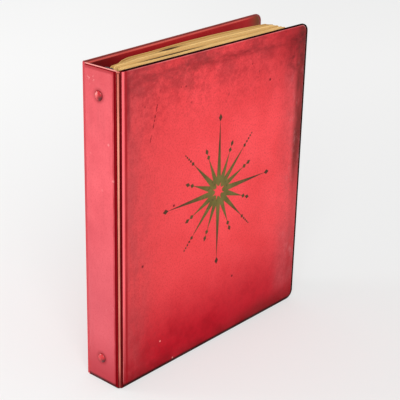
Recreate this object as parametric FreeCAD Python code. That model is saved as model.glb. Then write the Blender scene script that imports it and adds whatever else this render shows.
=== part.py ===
"""Stamp album: a ring binder in a sealed vinyl case, standing upright on its bottom edge.

Millimetres. +Z is up. +X runs from the spine to the fore edge, and the front cover faces -Y.
The origin is on the floor, in the middle of the spine's welded sheet.
"""

import FreeCAD, Part
import math
import os

Vector = FreeCAD.Vector

# Vinyl case
CASE_HEIGHT = 292.0
CASE_WIDTH = 254.0
CASE_DEPTH = 45.0
BOARD_T = 2.2
VINYL_T = 0.5
RIM_WIDTH = 3.2
COVER_CORNER_R = 8.0
PANEL_CORNER_R = 2.0
PANEL_EDGE_R = 0.9
HINGE_RIB_R = 1.5
HINGE_CLEARANCE = 0.25
SPINE_GROOVE = 2.9
COVER_GROOVE = 1.4
REAR_SPLAY_DEG = 3.4

# Foil ornament on the front cover
FOIL_T = 0.1
STAR_RISE = 9.0
STAR_HOLE_R = 5.0
STAR_WIDEST_R = 13.0
STAR_LONG_RAY = 74.5
STAR_MIDDLE_RAY = 58.0
STAR_SHORT_RAY = 41.0
STAR_RAY_WIDTH = 6.0
STAR_RAY_GAP = 0.4
STAR_QUARTERS = 4

# Ring mechanism
RING_INSIDE = 25.8
RING_WIRE = 3.2
RING_PITCH = 108.0
RING_COUNT = 3
RING_LIFT = 11.6
RING_TIP_GAP = 0.3
RING_SWEEP_DEG = 150.0
PLATE_WIDTH = 23.0
PLATE_HEIGHT = 4.8
PLATE_SIDE = 2.4
PLATE_T = 0.7
PLATE_END_ROOM = 5.5
SLOT_CLEARANCE = 0.6
BLADE_T = 0.8
BLADE_LIFT = 1.3
BLADE_SIDE_GAP = 1.2
BLADE_MIDDLE_GAP = 0.6
BLADE_INSET = 7.0
RIVET_INSET = 18.7
RIVET_HEAD_R = 4.4
RIVET_DOME = 1.7
RIVET_SHANK_R = 2.0
RIVET_CLINCH_R = 3.0
RIVET_CLINCH_T = 0.6
SPACER_WALL = 1.2
NOTCH_CLEARANCE = 0.8

# Opening levers
PIN_R = 0.7
PIN_INSET = 5.0
PIN_END = 0.4
PIN_LIFT = 1.7
PIN_RUNNING_FIT = 0.05
LEVER_WIDTH = 10.0
LEVER_T = 1.2
LEVER_HUB_R = 1.3
LEVER_TAB_RISE = 8.7
LEVER_TAB_R = 2.0
LEVER_END_GAP = 0.8
LEVER_ARM_T = 0.9
TONGUE_WIDTH = 4.0
TONGUE_T = 0.7
TONGUE_REACH = 4.5
TONGUE_GAP = 0.3

# Album leaves, in sections of several leaves each
LEAF_WIDTH = 216.0
LEAF_HEIGHT = 279.4
HOLE_R = 2.8
HOLE_MARGIN = 9.5
HANG_GAP = 0.3
TURN_CLEARANCE = 1.2
SECTION_GAP = 0.3
HALVES_GAP = 0.8
HALVES_MIDDLE_GAP = 1.6
STAYING_T = 2.0
STAYING_SWELL = 1.2
FRONT_ROOM = 3.0
REAR_ROOM = 4.0
FRONT_FORE_SWELL = 2.0
REAR_FORE_SWELL = 6.5
LEAF_EDGE_BOW = 0.5
FRONT_TURNING_COUNT = 3
REAR_TURNING_COUNT = 4

# Worked out from the sizes above
PANEL_T = BOARD_T + 2 * VINYL_T
HALF_T = PANEL_T / 2
HINGE_Y = CASE_DEPTH / 2 - HALF_T
FORE_X = CASE_WIDTH - HALF_T
COVER_INNER_Y = HINGE_Y - HALF_T
SPINE_PANEL_Y = HINGE_Y - HINGE_RIB_R - SPINE_GROOVE
COVER_PANEL_X = HINGE_RIB_R + COVER_GROOVE
MIDDLE_Z = CASE_HEIGHT / 2

WIRE_R = RING_WIRE / 2
RING_R = (RING_INSIDE + RING_WIRE) / 2
CROWN_X = HALF_T + PLATE_HEIGHT
RING_X = CROWN_X + RING_LIFT
RING_ZS = [MIDDLE_Z + (i - (RING_COUNT - 1) / 2) * RING_PITCH for i in range(RING_COUNT)]
RING_FOOT_Y = RING_R * math.sin(math.radians(RING_SWEEP_DEG))
RING_FOOT_X = RING_X + RING_R * math.cos(math.radians(RING_SWEEP_DEG))
PLATE_LENGTH = CASE_HEIGHT - 2 * PLATE_END_ROOM
PLATE_TOP_Z = CASE_HEIGHT - PLATE_END_ROOM
BLADE_BOTTOM_X = HALF_T + BLADE_LIFT
BLADE_TOP_X = BLADE_BOTTOM_X + BLADE_T
FULCRUM_X = BLADE_BOTTOM_X + BLADE_T / 2
FULCRUM_Y = PLATE_WIDTH / 2 - PLATE_T - BLADE_SIDE_GAP
BLADE_HALF_LENGTH = PLATE_LENGTH / 2 - BLADE_INSET
RIVET_ZS = [PLATE_END_ROOM + RIVET_INSET, PLATE_TOP_Z - RIVET_INSET]
PIN_X = HALF_T + PIN_LIFT
PIN_RISE = PLATE_LENGTH / 2 - PIN_INSET

STACK_HALF = RING_LIFT - TURN_CLEARANCE
LEAF_Z = MIDDLE_Z - (HOLE_R - WIRE_R - HANG_GAP)
LEAF_MIDDLE_X = RING_X + RING_R - HOLE_MARGIN + LEAF_WIDTH / 2
SPLAY_RUN = math.tan(math.radians(REAR_SPLAY_DEG))
FRONT_SWOLLEN_Y = COVER_INNER_Y - FRONT_ROOM
REAR_SWOLLEN_Y = COVER_INNER_Y + LEAF_MIDDLE_X * SPLAY_RUN - REAR_ROOM


def block(x0, x1, y0, y1, z0, z1):
    """A box between two opposite corners."""
    return Part.makeBox(x1 - x0, y1 - y0, z1 - z0, Vector(x0, y0, z0))


def rod(radius, start, end):
    """A round bar from one point to another."""
    run = Vector(*end) - Vector(*start)
    return Part.makeCylinder(radius, run.Length, Vector(*start), run)


def mirrored_y(shape):
    return shape.mirror(Vector(0, 0, 0), Vector(0, 1, 0))


def mirrored_z(shape):
    """The same piece at the other end of the album."""
    return shape.mirror(Vector(0, 0, MIDDLE_Z), Vector(0, 0, 1))


def rounded_corners(plate, radius, only_beyond=None):
    """Rounds the corners of a plate that lies in the XZ plane, or only those beyond an X."""
    corners = []
    for edge in plate.Edges:
        a, b = (v.Point for v in edge.Vertexes)
        along_y = abs(a.x - b.x) < 1e-6 and abs(a.z - b.z) < 1e-6
        if along_y and (only_beyond is None or a.x > only_beyond):
            corners.append(edge)
    return plate.makeFillet(radius, corners)


def rounded_outer_rim(plate, outer_y, radius):
    """Softens every edge of a plate's outer face."""
    rim = [e for e in plate.Edges if all(abs(v.Point.y - outer_y) < 1e-6 for v in e.Vertexes)]
    return plate.makeFillet(radius, rim)


def sealed_sheet(rim, panel, board):
    """One vinyl sheet: a flat rim, and a shallow tray over half of the board. It bulges towards +Y."""
    return rim.fuse(panel).cut(board).removeSplitter()


def cover_pieces():
    """Vinyl sheet and board of a cover whose hinge axis is the Z axis and whose outside faces +Y."""
    panel_end = FORE_X - RIM_WIDTH
    rim = block(0, FORE_X, 0, VINYL_T, 0, CASE_HEIGHT)
    rim = rounded_corners(rim, COVER_CORNER_R, only_beyond=FORE_X / 2)
    panel = block(COVER_PANEL_X, panel_end, 0, HALF_T, RIM_WIDTH, CASE_HEIGHT - RIM_WIDTH)
    panel = rounded_corners(panel, COVER_CORNER_R - RIM_WIDTH, only_beyond=FORE_X / 2)
    panel = rounded_outer_rim(panel, HALF_T, PANEL_EDGE_R)
    board = block(COVER_PANEL_X + VINYL_T, panel_end - VINYL_T, -BOARD_T / 2, BOARD_T / 2,
                  RIM_WIDTH + VINYL_T, CASE_HEIGHT - RIM_WIDTH - VINYL_T)
    board = rounded_corners(board, COVER_CORNER_R - RIM_WIDTH - VINYL_T, only_beyond=FORE_X / 2)
    round_rib = rod(HINGE_RIB_R + HINGE_CLEARANCE, (0, 0, 0), (0, 0, CASE_HEIGHT))
    sheet = sealed_sheet(rim, panel, board).cut(round_rib)
    return sheet, board


def spine_pieces():
    """Vinyl sheet and board of the spine, drawn with its outside facing +Y and its middle at X 0."""
    rim = block(-HINGE_Y, HINGE_Y, 0, VINYL_T, 0, CASE_HEIGHT)
    panel = block(-SPINE_PANEL_Y, SPINE_PANEL_Y, 0, HALF_T, RIM_WIDTH, CASE_HEIGHT - RIM_WIDTH)
    panel = rounded_corners(panel, PANEL_CORNER_R)
    panel = rounded_outer_rim(panel, HALF_T, PANEL_EDGE_R)
    board_y = SPINE_PANEL_Y - VINYL_T
    board = block(-board_y, board_y, -BOARD_T / 2, BOARD_T / 2,
                  RIM_WIDTH + VINYL_T, CASE_HEIGHT - RIM_WIDTH - VINYL_T)
    board = rounded_corners(board, PANEL_CORNER_R - VINYL_T)
    sheet = sealed_sheet(rim, panel, board)
    for side in (-1, 1):
        sheet = sheet.cut(rod(HINGE_RIB_R, (side * HINGE_Y, 0, 0), (side * HINGE_Y, 0, CASE_HEIGHT)))
    return sheet, board


def star_ray(turn_deg, reach, width):
    """One slim lozenge of the star, lying on a cover that faces +Y."""
    corners = [(0, STAR_HOLE_R), (width / 2, STAR_WIDEST_R), (0, reach), (-width / 2, STAR_WIDEST_R)]
    points = [Vector(x, 0, z) for x, z in corners]
    ray = Part.Face(Part.makePolygon(points + points[:1])).extrude(Vector(0, FOIL_T, 0))
    ray.rotate(Vector(0, 0, 0), Vector(0, 1, 0), turn_deg)
    ray.translate(Vector((COVER_PANEL_X + FORE_X - RIM_WIDTH) / 2, HALF_T, MIDDLE_Z + STAR_RISE))
    return ray


def foil_star():
    """A compass star: long rays, middle rays between them, and short slim rays between those."""
    quarter = 360 / STAR_QUARTERS
    pitch = 2 * STAR_WIDEST_R * math.sin(math.radians(quarter / 8))
    slim_width = 2 * (pitch - STAR_RAY_GAP) - STAR_RAY_WIDTH
    rays = []
    for i in range(STAR_QUARTERS):
        rays.append(star_ray(i * quarter, STAR_LONG_RAY, STAR_RAY_WIDTH))
        rays.append(star_ray((i + 0.25) * quarter, STAR_SHORT_RAY, slim_width))
        rays.append(star_ray((i + 0.5) * quarter, STAR_MIDDLE_RAY, STAR_RAY_WIDTH))
        rays.append(star_ray((i + 0.75) * quarter, STAR_SHORT_RAY, slim_width))
    return Part.makeCompound(rays)


def case_nodes():
    """The vinyl case: two covers and a spine, each a board sealed between two vinyl sheets."""
    nodes = {}
    sheet, board = cover_pieces()
    cover = {"cover_skin": sheet, "cover_lining": mirrored_y(sheet), "cover_board": board}
    for name, shape in cover.items():
        front = mirrored_y(shape)
        front.translate(Vector(0, -HINGE_Y, 0))
        nodes["front_" + name] = front
        rear = shape.copy()
        rear.rotate(Vector(0, 0, 0), Vector(0, 0, 1), REAR_SPLAY_DEG)
        rear.translate(Vector(0, HINGE_Y, 0))
        nodes["rear_" + name] = rear

    star = mirrored_y(foil_star())
    star.translate(Vector(0, -HINGE_Y, 0))
    nodes["foil_star"] = star

    sheet, board = spine_pieces()
    spine = {"spine_skin": sheet, "spine_lining": mirrored_y(sheet), "spine_board": board}
    for name, shape in spine.items():
        shape.rotate(Vector(0, 0, 0), Vector(0, 0, 1), 90)
        for z in RIVET_ZS:
            shape = shape.cut(rod(RIVET_SHANK_R, (-PANEL_T, 0, z), (PANEL_T, 0, z)))
        nodes[name] = shape
    for name, side in (("front_hinge_rib", -1), ("rear_hinge_rib", 1)):
        nodes[name] = rod(HINGE_RIB_R, (0, side * HINGE_Y, 0), (0, side * HINGE_Y, CASE_HEIGHT))
    return nodes


def arch_profile(half_width, crown_x):
    """The outline of a channel with straight sides and an arched top, open towards the spine."""
    foot_l, foot_r = Vector(HALF_T, -half_width, 0), Vector(HALF_T, half_width, 0)
    eave_l = Vector(HALF_T + PLATE_SIDE, -half_width, 0)
    eave_r = Vector(HALF_T + PLATE_SIDE, half_width, 0)
    edges = [
        Part.LineSegment(foot_l, eave_l).toShape(),
        Part.Arc(eave_l, Vector(crown_x, 0, 0), eave_r).toShape(),
        Part.LineSegment(eave_r, foot_r).toShape(),
        Part.LineSegment(foot_r, foot_l).toShape(),
    ]
    return Part.Face(Part.Wire(edges))


def ring_plate():
    """The arched steel plate that is riveted to the spine and carries the blades and levers."""
    outer = arch_profile(PLATE_WIDTH / 2, CROWN_X)
    inner = arch_profile(PLATE_WIDTH / 2 - PLATE_T, CROWN_X - PLATE_T)
    plate = outer.cut(inner).extrude(Vector(0, 0, PLATE_LENGTH))
    plate.translate(Vector(0, 0, PLATE_END_ROOM))
    slot_in = RING_FOOT_Y - WIRE_R - SLOT_CLEARANCE
    slot_half = WIRE_R + SLOT_CLEARANCE
    for z in RING_ZS:
        for side in (-1, 1):
            low_y, high_y = sorted((side * slot_in, side * PLATE_WIDTH))
            plate = plate.cut(block(BLADE_TOP_X, RING_X, low_y, high_y, z - slot_half, z + slot_half))
    for z in RIVET_ZS:
        plate = plate.cut(rod(RIVET_SHANK_R, (HALF_T, 0, z), (RING_X, 0, z)))
    for pin in lever_pins():
        plate = plate.cut(pin)
    return plate


def rivets(plate):
    """Two domed rivets through the spine, and the spacer tubes that hold the plate off it."""
    heads, spacers = [], []
    dome_r = (RIVET_HEAD_R ** 2 + RIVET_DOME ** 2) / (2 * RIVET_DOME)
    dome_x = -HALF_T - RIVET_DOME + dome_r
    for z in RIVET_ZS:
        ball = Part.makeSphere(dome_r, Vector(dome_x, 0, z))
        dome = ball.common(block(-CASE_DEPTH, -HALF_T, -dome_r, dome_r, z - dome_r, z + dome_r))
        shank = rod(RIVET_SHANK_R, (-HALF_T, 0, z), (CROWN_X + RIVET_CLINCH_T, 0, z))
        clinch = rod(RIVET_CLINCH_R, (CROWN_X, 0, z), (CROWN_X + RIVET_CLINCH_T, 0, z))
        heads.append(dome.fuse([shank, clinch]).removeSplitter())
        tube = rod(RIVET_SHANK_R + SPACER_WALL, (HALF_T, 0, z), (CROWN_X - PLATE_T, 0, z))
        spacers.append(tube.cut(rod(RIVET_SHANK_R, (HALF_T, 0, z), (CROWN_X, 0, z))).cut(plate))
    return Part.makeCompound(heads), Part.makeCompound(spacers)


def front_blade():
    """The front one of two steel strips under the plate, which rocks on its rolled outer edge."""
    low_z, high_z = MIDDLE_Z - BLADE_HALF_LENGTH, MIDDLE_Z + BLADE_HALF_LENGTH
    strip = block(BLADE_BOTTOM_X, BLADE_TOP_X, -FULCRUM_Y, -BLADE_MIDDLE_GAP / 2, low_z, high_z)
    rolled_edge = rod(BLADE_T / 2, (FULCRUM_X, -FULCRUM_Y, low_z), (FULCRUM_X, -FULCRUM_Y, high_z))
    blade = strip.fuse(rolled_edge)
    notch_r = RIVET_SHANK_R + SPACER_WALL + NOTCH_CLEARANCE
    for z in RIVET_ZS:
        blade = blade.cut(rod(notch_r, (HALF_T, 0, z), (CROWN_X, 0, z)))
    return blade.removeSplitter()


def front_half_ring(z):
    """Half a binder ring: a bent wire from the parting to a straight foot on the front blade."""
    wire = Part.makeTorus(RING_R, WIRE_R, Vector(0, 0, 0), Vector(0, 0, 1), 0, 360, RING_SWEEP_DEG)
    wire.rotate(Vector(0, 0, 0), Vector(0, 0, 1), -RING_SWEEP_DEG)
    wire.translate(Vector(RING_X, 0, z))
    parting = block(RING_X, RING_X + 2 * RING_R, -RING_TIP_GAP / 2, RING_R, z - RING_WIRE, z + RING_WIRE)
    foot = rod(WIRE_R, (BLADE_TOP_X, -RING_FOOT_Y, z), (RING_FOOT_X + WIRE_R / 2, -RING_FOOT_Y, z))
    below_blade = block(-RING_X, BLADE_TOP_X, -RING_X, 0, z - RING_WIRE, z + RING_WIRE)
    return wire.fuse(foot).cut(parting).cut(below_blade).removeSplitter()


def lever_pins():
    """The two cross pins in the plate's ends that the opening levers turn on."""
    half = PLATE_WIDTH / 2 + PIN_END
    return [rod(PIN_R, (PIN_X, -half, MIDDLE_Z + rise), (PIN_X, half, MIDDLE_Z + rise))
            for rise in (PIN_RISE, -PIN_RISE)]


def top_lever():
    """A pressed lever: hub on its pin, thumb tab beyond the plate's end, tongue under the blades."""
    pin_z = MIDDLE_Z + PIN_RISE
    half = LEVER_WIDTH / 2
    tab_z = PLATE_TOP_Z + LEVER_END_GAP
    hub = rod(LEVER_HUB_R, (PIN_X, -half, pin_z), (PIN_X, half, pin_z))
    arm_x = PIN_X + LEVER_HUB_R - LEVER_ARM_T
    arm = block(arm_x, PIN_X + LEVER_HUB_R, -half, half, pin_z, tab_z + LEVER_T)
    tab = block(arm_x, PIN_X + LEVER_TAB_RISE, -half, half, tab_z, tab_z + LEVER_T)
    tab_corners = [e for e in tab.Edges
                   if all(abs(v.Point.x - PIN_X - LEVER_TAB_RISE) < 1e-6 for v in e.Vertexes)
                   and abs(e.Vertexes[0].Point.y - e.Vertexes[1].Point.y) < 1e-6]
    tab = tab.makeFillet(LEVER_TAB_R, tab_corners)
    tongue_x = HALF_T + TONGUE_GAP
    blade_end = MIDDLE_Z + BLADE_HALF_LENGTH
    tongue = block(tongue_x, tongue_x + TONGUE_T, -TONGUE_WIDTH / 2, TONGUE_WIDTH / 2,
                   pin_z - TONGUE_REACH, pin_z)
    neck = block(tongue_x, PIN_X, -TONGUE_WIDTH / 2, TONGUE_WIDTH / 2, blade_end + TONGUE_GAP, pin_z)
    bore = rod(PIN_R + PIN_RUNNING_FIT, (PIN_X, -LEVER_WIDTH, pin_z), (PIN_X, LEVER_WIDTH, pin_z))
    return hub.fuse([arm, tab, tongue, neck]).cut(bore).removeSplitter()


def mechanism_nodes():
    """The ring mechanism: plate, rivets, blades, half rings, levers and their pins."""
    plate = ring_plate()
    heads, spacers = rivets(plate)
    lever = top_lever()
    nodes = {
        "ring_plate": plate,
        "spine_rivets": heads,
        "rivet_spacers": spacers,
        "front_blade": front_blade(),
        "rear_blade": mirrored_y(front_blade()),
        "lever_pins": Part.makeCompound(lever_pins()),
        "top_lever": lever,
        "bottom_lever": mirrored_z(lever),
    }
    for number, z in enumerate(RING_ZS, 1):
        nodes[f"front_half_ring_{number}"] = front_half_ring(z)
        nodes[f"rear_half_ring_{number}"] = mirrored_y(front_half_ring(z))
    return nodes


def leaf_section(inner, outer):
    """A stack of leaves between two faces, each given by its Y at the rings, middle and fore edge."""
    at_rings = (inner[0] + outer[0]) / 2
    spine_x = RING_X + math.sqrt(RING_R ** 2 - at_rings ** 2) - HOLE_MARGIN
    xs = (spine_x, spine_x + LEAF_WIDTH / 2, spine_x + LEAF_WIDTH)
    near = [Vector(x, y, 0) for x, y in zip(xs, inner)]
    far = [Vector(x, y, 0) for x, y in zip(xs, outer)]
    spine_bow = Vector(xs[0] - LEAF_EDGE_BOW, at_rings, 0)
    fore_bow = Vector(xs[2] + LEAF_EDGE_BOW, (inner[2] + outer[2]) / 2, 0)
    edges = [
        Part.Arc(*near).toShape(),
        Part.Arc(near[2], fore_bow, far[2]).toShape(),
        Part.Arc(far[2], far[1], far[0]).toShape(),
        Part.Arc(far[0], spine_bow, near[0]).toShape(),
    ]
    stack = Part.Face(Part.Wire(edges)).extrude(Vector(0, 0, LEAF_HEIGHT))
    stack.translate(Vector(0, 0, LEAF_Z - LEAF_HEIGHT / 2))
    for z in RING_ZS:
        hole_z = z + LEAF_Z - MIDDLE_Z
        stack = stack.cut(Part.makeTorus(RING_R, HOLE_R, Vector(RING_X, 0, hole_z), Vector(0, 0, 1)))
    return stack


def leaf_faces(swollen_y, fore_swell, turning_count):
    """Y of each section's two faces at the rings, middle and fore edge, from the album's middle out."""
    innermost = (HALVES_GAP / 2, HALVES_MIDDLE_GAP / 2, HALVES_GAP / 2)
    staying = tuple(y + STAYING_T + swell for y, swell in zip(innermost, (0, STAYING_SWELL, 0)))
    outermost = (STACK_HALF, swollen_y, STACK_HALF + fore_swell)
    pairs = [(innermost, staying)]
    first = tuple(y + SECTION_GAP for y in staying)
    steps = [(b - a + SECTION_GAP) / turning_count for a, b in zip(first, outermost)]
    for i in range(turning_count):
        near = tuple(a + i * step for a, step in zip(first, steps))
        far = tuple(y + step - SECTION_GAP for y, step in zip(near, steps))
        pairs.append((near, far))
    return pairs


def leaf_nodes():
    """Sections of album leaves, counted from the front cover to the rear one."""
    front = leaf_faces(FRONT_SWOLLEN_Y, FRONT_FORE_SWELL, FRONT_TURNING_COUNT)
    rear = leaf_faces(REAR_SWOLLEN_Y, REAR_FORE_SWELL, REAR_TURNING_COUNT)
    sections = [mirrored_y(leaf_section(*faces)) for faces in reversed(front)]
    sections += [leaf_section(*faces) for faces in rear]
    return {f"leaf_section_{number}": shape for number, shape in enumerate(sections, 1)}


def main():
    os.makedirs("parts", exist_ok=True)
    nodes = {**case_nodes(), **mechanism_nodes(), **leaf_nodes()}
    for name, shape in nodes.items():
        shape.exportStep(f"parts/{name}.step")
        print(name, len(shape.Solids), "solids, volume", round(shape.Volume, 1), shape.isValid())


if __name__ == "__main__":
    main()
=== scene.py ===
"""Stamp album: the looks of a red vinyl ring binder with a foil star and yellowed leaves.

Metres, in the part's own frame: +X from the spine to the fore edge, front cover towards -Y, +Z up.
Sizes below are written in millimetres.
"""

import math
import random

import bmesh
import bpy
from mathutils import Matrix, Vector


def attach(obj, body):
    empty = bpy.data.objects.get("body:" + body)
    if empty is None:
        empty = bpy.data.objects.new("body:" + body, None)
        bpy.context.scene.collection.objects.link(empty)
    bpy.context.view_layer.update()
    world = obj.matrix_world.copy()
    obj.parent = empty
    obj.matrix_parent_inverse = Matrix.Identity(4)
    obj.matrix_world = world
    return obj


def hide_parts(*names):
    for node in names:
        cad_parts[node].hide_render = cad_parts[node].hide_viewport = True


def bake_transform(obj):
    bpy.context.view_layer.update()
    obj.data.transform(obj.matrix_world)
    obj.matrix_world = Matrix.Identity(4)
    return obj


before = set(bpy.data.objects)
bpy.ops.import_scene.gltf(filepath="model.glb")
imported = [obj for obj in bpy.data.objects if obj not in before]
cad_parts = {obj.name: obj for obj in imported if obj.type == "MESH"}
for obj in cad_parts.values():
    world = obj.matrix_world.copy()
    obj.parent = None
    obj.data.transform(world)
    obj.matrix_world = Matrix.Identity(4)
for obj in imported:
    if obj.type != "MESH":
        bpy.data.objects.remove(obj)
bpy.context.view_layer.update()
MM = 0.001

# Vinyl case
CASE_HEIGHT = 292.0
FORE_EDGE = 252.4
HINGE_Y = 20.9
RIM_HALF_T = 0.45
COVER_SHEET_START = 2.04
COVER_CUT = 2.7
COVER_FLANGE_START = 1.85
COVER_CORNER = 8.0
FORE_RIM_EXTRA = 2.0
FORE_BEAD_REACH = 0.8
SPINE_SHEET_HALF = 18.06
SPINE_CUT = 17.35
SPINE_FLANGE_END = 19.35
SPINE_REAR_CUT = 17.2
REAR_SPLAY = 3.4
PANEL_FACE = 1.6
FRONT_FACE = -HINGE_Y - PANEL_FACE
# Width and rise of each step from the rim's edge to the panel: bead, seal groove, rounded panel edge
BEAD_STEPS = [(0.08, 0.12), (0.12, 0.09), (0.2, 0.02), (0.1, -0.1), (0.06, -0.17)]
GROOVE_STEPS = [(0.6, 0.0)]
PANEL_EDGE_STEPS = [(0.06, 0.35), (0.1, 0.28), (0.16, 0.22), (0.22, 0.16), (0.3, 0.1), (0.4, 0.06), (0.5, 0.02)]
SOFT_EDGE_STEPS = [(0.1, 0.3), (0.25, 0.27), (0.4, 0.22), (0.6, 0.17), (0.8, 0.12), (0.9, 0.07), (1.0, 0.04)]
# Heights above a sheet's middle where the seal groove and the panel's rounded edge end
GROOVE_TOP, PANEL_EDGE_TOP = 0.86, 1.42
SPINE_BEAD = 0.6
# Edge loops across and up the sheets
CROSS_SCORES, SPINE_SCORES, UP_SCORES = range(12, 245, 12), (-10, 0, 10), range(12, 285, 12)
# Waves in the boards, fading towards the star and the edges
WAVE_HEIGHT, WAVE_LENGTH = 0.5, 70
WAVE_FREE_STAR, WAVE_FREE_EDGE = 76, 6
WAVE_FADE_STAR, WAVE_FADE_EDGE = 30, 20

# Hinges
HINGE_BED_R = 1.42
HINGE_CREST_R = 0.95
HINGE_CREST_OUT = 0.65
HINGE_BED_ENDS = (1.6, 291.7)
HINGE_CREST_ENDS = (2.4, 290.2)
HINGE_END_ROUND = 0.3
HINGE_BEAD = 290.8
WEB_START = (-0.9, 16.9)
WEB_END = (2.7, 22.1)
WEB_T = 0.6
WEB_RIB = 0.9
# Shares of the strip's width: edge loops, half the rib, and the darker stretch
WEB_SCORES = (0.12, 0.25, 0.36, 0.42, 0.5, 0.58, 0.64, 0.75, 0.88)
WEB_RIB_HALF = 1 / 12
WEB_DARK = (0.3, 0.7)

# Rivets
RIVET_ZS = (24.2, 267.8)
RIVET_HEAD_R = 4.4
RIVET_DOME_STEPS = [(0.08, 0.3), (0.16, 0.32), (0.3, 0.32), (0.55, 0.33), (0.8, 0.25), (1.1, 0.14), (0.8, 0.04)]
RIVET_FLANGE_T = 0.3
RIVET_SHANK_R = 2.0
RIVET_CLINCH_X = 6.4
# Reach and widening of each step of the hammered end
RIVET_CLINCH_STEPS = [(0, 1.5), (0.35, 1.0), (0.15, 0.9), (0.1, 0.7)]

# Star
STAR_X = 126.05
STAR_Z = 155.0
STAR_POINTS = 32
STAR_HOLE = 5.0
STAR_HOLE_POINT = 8.8
STAR_VALLEY = 14.0
STAR_LONG, STAR_MIDDLE, STAR_SHORT = 69.0, 50.0, 38.0
# Half width, half length and reach of the lozenges on each kind of ray
LONG_LOZENGES = [(2.4, 3.6, 70.6)]
MIDDLE_LOZENGES = [(1.9, 2.3, 50.6), (1.3, 1.6, 54.9), (1.15, 1.5, 58.3), (1.0, 1.35, 61.5), (0.8, 1.2, 64.4)]
SHORT_LOZENGES = [(2.2, 2.7, 39.3), (2.0, 3.2, 45.6)]
LOZENGE_LIFT = 0.02
FOIL_T = 0.08

# Leaves
RING_X = 18.0
RING_R = 14.5
RING_ZS = (38.0, 146.0, 254.0)
LEAF_WIDTH = 216.0
LEAF_LOW, LEAF_HIGH = 5.4, 287.0
HOLE_MARGIN = 9.5
HOLE_R = 2.8
HOLE_DROP = 0.9
LEAF_CORNER = 2.5
LEAF_SCORES = [2, 5, 9, 15, *range(20, 210, 10)]
LAST_SECTION = 9
LEAVES_IN_SECTION = 5
# Ranges of a leaf's share of its place, its lift at the head and its slip at the fore edge
LEAF_SHARE, LEAF_LIFT, LEAF_SLIP = (0.7, 0.96), (-0.7, 0.4), (-1.2, 0.8)
# The spine edges form two rounded lobes: middle and half width of each
LOBE_PARTING = 4.4
FRONT_LOBE, REAR_LOBE = (-3.2, 8.0), (7.0, 3.6)
LOBE_REACH = 5.5
LOBE_BACK = 3.5
LOBE_ROOT = 5
# Bulge of the stack beside the rings, and where along the leaf it rises and falls
SPINE_FILL = 3.2
FILL_RISE, FILL_FALL = (14, 27), (66, 25)
STACK_HALF = 10.4
SECTION_GAP = 0.3
# Y at the rings, middle and fore edge of the faces of the sections beside the ring gap
INNERMOST, STAYING = (0.4, 0.8, 0.4), (2.4, 4.0, 2.4)
# Y at the middle, swelling at the fore edge, and number of the sections outside those
FRONT_STACK, REAR_STACK = (16.3, 2.0, 3), (23.08, 6.5, 4)
# Dark slots between leaves at the head: start and end along the leaf, and depth
READING_SLOT, REAR_PARTING, SHUT = (38, 132, 1.0), (80, 114, 2.1), (0, 1, 0)
SLOT_FOOT, SLOT_HEAD = 281.0, 286.5
LEVER_ROOM = 2.6
LEVER_ROOM_X = (18, 8)

# Studio, in metres and degrees
CAMERA_PLACE = (-0.58404, -0.61941, 0.52366)
CAMERA_TURN = (48.92, 22.18, 1.396)
CAMERA_LENS, CAMERA_SENSOR = 97.82, 36
# Directions on the floor, as the camera sees them
FLOOR_AWAY, FLOOR_RIGHT = (0.754, 0.657, 0), (0.657, -0.754, 0)
FLOOR_SIZE = 14
SKY_STRENGTH = 0.7


# Modelling tools

def put_away():
    """Ends editing and leaves nothing selected."""
    if bpy.context.object is not None and bpy.context.object.mode == "EDIT":
        bpy.ops.object.mode_set(mode="OBJECT")
    bpy.ops.object.select_all(action="DESELECT")


def take(piece):
    """Makes one piece the only selected one."""
    put_away()
    piece.select_set(True)
    bpy.context.view_layer.objects.active = piece


def fix_place():
    """Writes the active piece's place, turn and scale into its mesh."""
    bpy.ops.object.transform_apply(location=True, rotation=True, scale=True)


def edit_all():
    """Opens the active piece for editing, with all of it selected."""
    bpy.ops.object.mode_set(mode="EDIT")
    bpy.ops.mesh.select_all(action="SELECT")


def slab(name, low, high):
    """A block between two corners, open for editing."""
    put_away()
    middle = [(a + b) / 2 * MM for a, b in zip(low, high)]
    bpy.ops.mesh.primitive_cube_add(size=1, location=middle)
    piece = bpy.context.object
    piece.name = name
    piece.scale = [(b - a) * MM for a, b in zip(low, high)]
    fix_place()
    edit_all()
    return piece


def pick(piece, part, wanted):
    """Selects only the faces, edges or verts whose middle and direction pass a test."""
    bpy.ops.mesh.select_mode(type=part[:-1].upper())
    bpy.ops.mesh.select_all(action="DESELECT")
    shape = bmesh.from_edit_mesh(piece.data)
    for item in getattr(shape, part):
        if part == "faces":
            item.select_set(wanted(item.calc_center_median(), item.normal))
        elif part == "edges":
            a, b = (v.co for v in item.verts)
            item.select_set(wanted((a + b) / 2, (b - a).normalized()))
        else:
            item.select_set(wanted(item.co, item.normal))
    shape.select_flush_mode()
    bmesh.update_edit_mesh(piece.data)


def score(axis, places):
    """Cuts an edge loop round the open piece at each place along an axis."""
    for place in places:
        point, normal = [0, 0, 0], [0, 0, 0]
        point[axis], normal[axis] = place * MM, 1
        bpy.ops.mesh.select_all(action="SELECT")
        bpy.ops.mesh.bisect(plane_co=point, plane_no=normal)


def trim(point, normal):
    """Cuts away the open piece beyond a plane and closes the cut."""
    bpy.ops.mesh.select_all(action="SELECT")
    bpy.ops.mesh.bisect(plane_co=[v * MM for v in point], plane_no=normal, use_fill=True, clear_outer=True)


def seal(piece, axis, side, panel_edge):
    """Presses the bead and seal groove into one face, and raises the panel inside them."""
    pick(piece, "faces", lambda at, way: way[axis] * side > 0.9)
    for width, rise in BEAD_STEPS + GROOVE_STEPS + panel_edge:
        bpy.ops.mesh.inset(thickness=width * MM, depth=rise * MM)


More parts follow.
